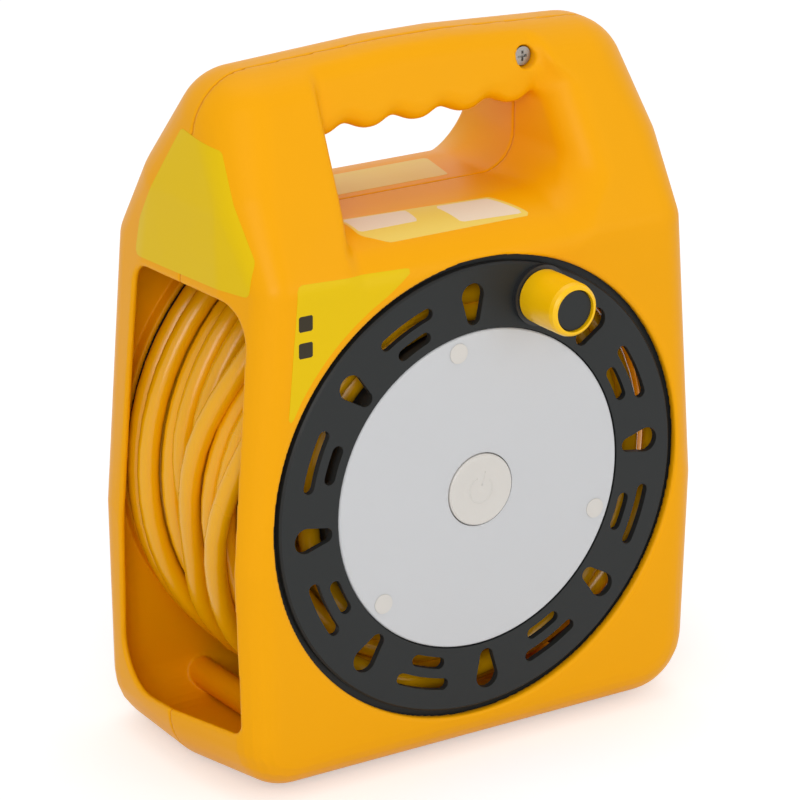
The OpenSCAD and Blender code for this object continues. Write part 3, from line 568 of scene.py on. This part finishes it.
def hole_edge():
    """Radius of the hand hole's outer edge: crisp on the left, a wide soft roll on the right of the front."""
    edge = CRISP_R + (SOFT_R - CRISP_R) * step01(X, *SOFT_X)
    edge = edge + (CRISP_R - edge) * step01(Z, *GRIP_FADE_Z)
    edge = edge + (SADDLE_EDGE_R - edge) * (1 - step01(Z, *SADDLE_FADE_Z))
    return edge + (np.minimum(edge, REAR_EDGE_R) - edge) * step01(Y, *REAR_FADE_Y)


CAVITY_TOP = SADDLE_Z + 6
BOSS_X, BOSS_Z, BOSS_R, BOSS_END = 62.0, -99.5, 6.0, 1.5
POST_X, POST_Z = 76.0, 124.0
# Screw holes: radii of the head's hole and of the bore, and y where the seats and the bores lie.
SCREW_HOLE, SCREW_BORE, PAST_FACE = 4.3, 2.1, 9
SEAT_Y = PART_Y + 18
CASE_BORE_Y = (PART_Y - 17, PART_Y + 30)
HANDLE_BORE_Y = (20, PART_Y + 12)
HULL_REACH, OPENING_EDGE, COUNTERBORE_EDGE = 20.0, 0.8, 0.5
# Rings about the drum axis at each face: inner and outer radius, and y from and to.
COLLAR = (91.7, 98.55, 1.2, 8.1)
DISC_OPENING = (-1.0, 92.7, -9, 6)
RIM_ROOM = (-1.0, 96.25, 4, 12)


def case_field():
    """Distance to the plastic of both case halves together."""
    hull = level_set(outer_points(), HULL_REACH)
    outer = rmax(hull, -hole_field(), hole_edge())
    cavity = np.maximum(outer + WALL, Z - CAVITY_TOP)
    cavity = np.maximum(cavity, -both_faces(*COLLAR))
    for s in (-1, 1):
        cavity = np.maximum(cavity, -cyl(s * BOSS_X, BOSS_Z, BOSS_R, BOSS_END, CASE_D - BOSS_END))
    solid = np.maximum(outer, -cavity)
    solid = rmax(solid, -both_faces(*DISC_OPENING), OPENING_EDGE)
    solid = np.maximum(solid, -both_faces(*RIM_ROOM))
    solid = rmax(solid, -window_field(), WINDOW_EDGE)
    for x, z in ((-BOSS_X, BOSS_Z), (BOSS_X, BOSS_Z), (-POST_X, POST_Z), (POST_X, POST_Z)):
        solid = np.maximum(solid, -cyl(x, z, SCREW_HOLE, SEAT_Y, CASE_D + PAST_FACE))
        solid = np.maximum(solid, -cyl(x, z, SCREW_BORE, *CASE_BORE_Y))
    solid = rmax(solid, -cyl(HSCREW_X, HSCREW_Z, SCREW_HOLE, 0, HSCREW_Y), COUNTERBORE_EDGE)
    return np.maximum(solid, -cyl(HSCREW_X, HSCREW_Z, SCREW_BORE, *HANDLE_BORE_Y))


def surface(field):
    """Points in metres and quads of the field's zero surface."""
    grid = vdb.FloatGrid(3.0)
    grid.copyFromArray(np.clip(field / CELL, -3, 3).astype(np.float32), ijk=(0, 0, 0))
    points, _, quads = grid.convertToPolygons(0.0, 0.0)
    points = np.array(points, np.float32) * CELL + LO.astype(np.float32)
    points += np.array([0, -MID_Y, AXIS_H], np.float32)
    return points / 1000, np.array(quads, np.int32)[:, ::-1]


def shell_mesh(name, field):
    """The field's surface as an object of its own."""
    points, quads = surface(field)
    me = bpy.data.meshes.new(name)
    me.vertices.add(len(points))
    me.vertices.foreach_set("co", points.ravel())
    me.loops.add(quads.size)
    me.loops.foreach_set("vertex_index", quads.ravel())
    me.polygons.add(len(quads))
    me.polygons.foreach_set("loop_start", np.arange(0, quads.size, 4, dtype=np.int32))
    me.polygons.foreach_set("use_smooth", np.ones(len(quads), bool))
    me.update(calc_edges=True)
    me.validate()
    ob = bpy.data.objects.new(name, me)
    bpy.context.collection.objects.link(ob)
    return ob


solid = case_field()
for name, node_name, other_half in (("front_case_half", "front_shell", Y - PART_Y),
                                    ("rear_case_half", "rear_shell", PART_Y - Y)):
    half = shell_mesh(name, np.maximum(solid, other_half))
    finish_piece(half, "case", "case", "case", node_name)
points, quads = surface(solid)
case_tree = BVHTree.FromPolygons([tuple(p) for p in points.tolist()], quads.tolist())
del solid, points, quads


# ---------------------------------------------------------------- bare plates in the stickers' places
PLATE_STEP, PLATE_LIFT, MARK_LIFT, RIM_SINK = 1.8, 0.12, 0.17, -0.2
# Each view: where a ray for the outline's point (u, v) starts, and the way it goes to meet the case.
FRONT_VIEW = (lambda u, v: (u, -20, v), (0, 1, 0))
LEFT_VIEW = (lambda u, v: (-130, u, v), (1, 0, 0))
SADDLE_VIEW = (lambda u, v: (u, v, 130), (0, 0, -1))


def evenly(pts):
    """Points about a step apart along a closed outline."""
    loop = np.vstack([pts, pts[:1]])
    along = np.concatenate([[0], np.cumsum(np.linalg.norm(np.diff(loop, axis=0), axis=1))])
    at = np.linspace(0, along[-1], max(24, int(along[-1] / PLATE_STEP)), endpoint=False)
    return np.stack([np.interp(at, along, loop[:, 0]), np.interp(at, along, loop[:, 1])], -1)


def plate(name, view, corners, centre, look, lift=PLATE_LIFT):
    """A thin sheet draped over the case in rings of its outline, with its rim turned down."""
    edge = evenly(rounded_outline(corners))
    centre = np.array(centre, float)
    reach = float(np.max(np.linalg.norm(edge - centre, axis=1)))
    rings = max(2, math.ceil(reach / PLATE_STEP))
    start_at, way = view

    def drop(uv, height):
        hit, normal, _, _ = case_tree.ray_cast(Vector(row(start_at(uv[0], uv[1]))), Vector(way))
        if normal.dot(Vector(way)) > 0:
            normal = -normal
        return tuple(hit + normal * height / 1000)

    verts = [drop(centre, lift)]
    for k in range(1, rings + 1):
        verts += [drop(centre + (p - centre) * k / rings, lift) for p in edge]
    verts += [drop(p, RIM_SINK) for p in edge]
    m = len(edge)
    faces = [(0, 1 + i, 1 + (i + 1) % m) for i in range(m)]
    for k in range(rings):
        for i in range(m):
            a, b = 1 + k * m + i, 1 + k * m + (i + 1) % m
            faces.append((a, a + m, b + m, b))
    ob = new_mesh(name, verts, faces)
    bm = bmesh.new()
    bm.from_mesh(ob.data)
    rim = [e for e in bm.edges if min(v.index for v in e.verts) > (rings - 1) * m
           and max(v.index for v in e.verts) <= rings * m]
    for e in rim:
        e.smooth = False
    bm.to_mesh(ob.data)
    bm.free()
    finish_piece(ob, look, "case", "case")


ARC_R = 96.0
MARK, MARK_X = 6.0, -82.2
arc = [((ARC_R * cs(a), ARC_R * sn(a)), 30) for a in range(147, 114, -5)]
FRONT_PLATE = [((-82.3, 96.3), 2.5), ((-87.0, 40.5), 1.0), *arc, ((-30.5, 94.3), 1.0)]
SIDE_PLATE = [((35.6, 140.2), 2.5), ((59.1, 144.0), 2.5), ((81.5, 104.0), 6), ((84.0, 89.4), 2.5),
              ((10, 91.4), 2.5), ((10.8, 104.4), 6)]
SADDLE_FRONT = [((-46, 30), 1.5), ((18.5, 25), 1.5), ((28.8, 10), 1.5), ((-36, 10), 4), ((-45.5, 16), 4)]
SADDLE_REAR = [((-35, 80), 1.5), ((27, 80), 1.5), ((22, 57), 1.5), ((-35, 57), 1.5)]
PALE_PATCH = [((-45, 29), 1), ((-18, 27), 1), ((-18, 18), 1), ((-44.2, 18), 1)]
PALE_STRIP = [((-6, 25.5), 1), ((17, 24), 1), ((26, 11.5), 1), ((-2, 13), 1)]

plate("front_plate", FRONT_VIEW, FRONT_PLATE, (-70.5, 80.5), "plate")
for k, v0 in enumerate((78.5, 68.2)):
    square = ((MARK_X, v0), (MARK_X, v0 + MARK), (MARK_X + MARK, v0 + MARK), (MARK_X + MARK, v0))
    middle = (MARK_X + MARK / 2, v0 + MARK / 2)
    plate("front_mark_%d" % (k + 1), FRONT_VIEW, [(p, 0.5) for p in square], middle, "plate_dark", MARK_LIFT)
plate("side_plate", LEFT_VIEW, SIDE_PLATE, (48, 112), "plate")
plate("saddle_front_plate", SADDLE_VIEW, SADDLE_FRONT, (-12, 19), "plate_cream")
plate("saddle_rear_plate", SADDLE_VIEW, SADDLE_REAR, (-6, 68), "plate_cream")
plate("saddle_pale_patch", SADDLE_VIEW, PALE_PATCH, (-31, 23), "plate_pale", MARK_LIFT)
plate("saddle_pale_strip", SADDLE_VIEW, PALE_STRIP, (9, 18), "plate_pale", MARK_LIFT)

# ---------------------------------------------------------------- raised power sign on the lamp button
SIGN_TURN = 14.6
SIGN_R, SIGN_GAP, SIGN_W, SIGN_H = 5.2, 34.0, 0.9, 0.06
SIGN_BAR = (1.6, 7.4)
SIGN_PROFILE = ((-0.5, -0.15), (-0.32, SIGN_H), (0.32, SIGN_H), (0.5, -0.15))  # shares of its width, heights
BUTTON_Y, DOME, DOME_R = 0.5, 0.15, 8


def button_y(r):
    """y of the lamp button's domed face at a radius."""
    return BUTTON_Y - DOME * r / DOME_R


def ribbon(name, centre_line):
    """A low raised line on the button's face."""
    line = [np.array(p, float) for p in centre_line]
    verts = []
    for i, p in enumerate(line):
        way = line[min(i + 1, len(line) - 1)] - line[max(i - 1, 0)]
        side = np.array([-way[1], way[0]]) / np.linalg.norm(way)
        for off, height in SIGN_PROFILE:
            q = p + side * off * SIGN_W
            x, _, z = turned((q[0], 0, q[1]), -SIGN_TURN)
            verts.append(row((x, button_y(math.hypot(x, z)) - height, z)))
    faces = [(4 * i + k, 4 * i + k + 1, 4 * i + k + 5, 4 * i + k + 4)
             for i in range(len(line) - 1) for k in range(3)]
    faces += [(3, 2, 1, 0), tuple(4 * (len(line) - 1) + k for k in range(4))]
    ob = new_mesh(name, verts, faces)
    finish_piece(ob, "button", "lamp_push", "button")


sign_angles = np.linspace(90 + SIGN_GAP, 450 - SIGN_GAP, 60)
ribbon("power_sign_arc", [(SIGN_R * cs(a), SIGN_R * sn(a)) for a in sign_angles])
ribbon("power_sign_bar", [(0, z) for z in np.linspace(*SIGN_BAR, 6)])

# ---------------------------------------------------------------- floor, light
FLOOR_HALF, FLOOR_TONE, FLOOR_GLOW = 6, 0.8, 0.42
WORLD_LIGHT = 0.64
LAMP_AIM = (0, 0, 0.12)


def seen_directly(nt):
    """1 for rays from the camera, and for those that a gloss or a clear piece passes on."""
    path = nt.nodes.new("ShaderNodeLightPath")
    both = path.outputs["Is Camera Ray"]
    for kind in ("Is Glossy Ray", "Is Transmission Ray"):
        more = nt.nodes.new("ShaderNodeMath")
        more.operation = "MAXIMUM"
        nt.links.new(both, more.inputs[0])
        nt.links.new(path.outputs[kind], more.inputs[1])
        both = more.outputs[0]
    return both


floor_corners = [(FLOOR_HALF * x, FLOOR_HALF * y, 0) for x, y in ((-1, -1), (1, -1), (1, 1), (-1, 1))]
floor = new_mesh("floor", floor_corners, [(0, 1, 2, 3)], False)
floor_material = bpy.data.materials.new("floor_white")
floor_material.use_nodes = True
floor_nodes = floor_material.node_tree
floor_shader = floor_nodes.nodes["Principled BSDF"]
floor_shader.inputs["Base Color"].default_value = (FLOOR_TONE, FLOOR_TONE, FLOOR_TONE, 1)
floor_shader.inputs["Roughness"].default_value = 1.0
floor_shader.inputs["Specular IOR Level"].default_value = 0.0
floor_shader.inputs["Emission Color"].default_value = (1, 1, 1, 1)
glow = remap(floor_nodes, seen_directly(floor_nodes), 0, 1, 0, FLOOR_GLOW)
floor_nodes.links.new(glow, floor_shader.inputs["Emission Strength"])
floor.data.materials.append(floor_material)

world = bpy.data.worlds.new("world")
bpy.context.scene.world = world
world.use_nodes = True
world_nodes = world.node_tree
background = world_nodes.nodes["Background"]
background.inputs["Color"].default_value = (1, 1, 1, 1)
strength = remap(world_nodes, seen_directly(world_nodes), 0, 1, WORLD_LIGHT, 1)
world_nodes.links.new(strength, background.inputs["Strength"])


def area(name, loc, size, power):
    """A soft rectangular lamp that looks at the middle of the case."""
    lamp = bpy.data.lights.new(name, "AREA")
    lamp.shape = "RECTANGLE"
    lamp.size, lamp.size_y = size
    lamp.energy = power
    ob = bpy.data.objects.new(name, lamp)
    bpy.context.collection.objects.link(ob)
    ob.location = loc
    ob.rotation_mode = "QUATERNION"
    ob.rotation_quaternion = (Vector(LAMP_AIM) - Vector(loc)).to_track_quat("-Z", "Y")


area("key", (-1.2, -1.6, 0.95), (0.9, 1.1), 13.5)
area("fill", (0.9, -1.9, 0.8), (1.2, 1.2), 5)
area("top", (0.1, 0.3, 1.9), (1.4, 1.2), 5)

bpy.context.scene.view_settings.view_transform = "Standard"
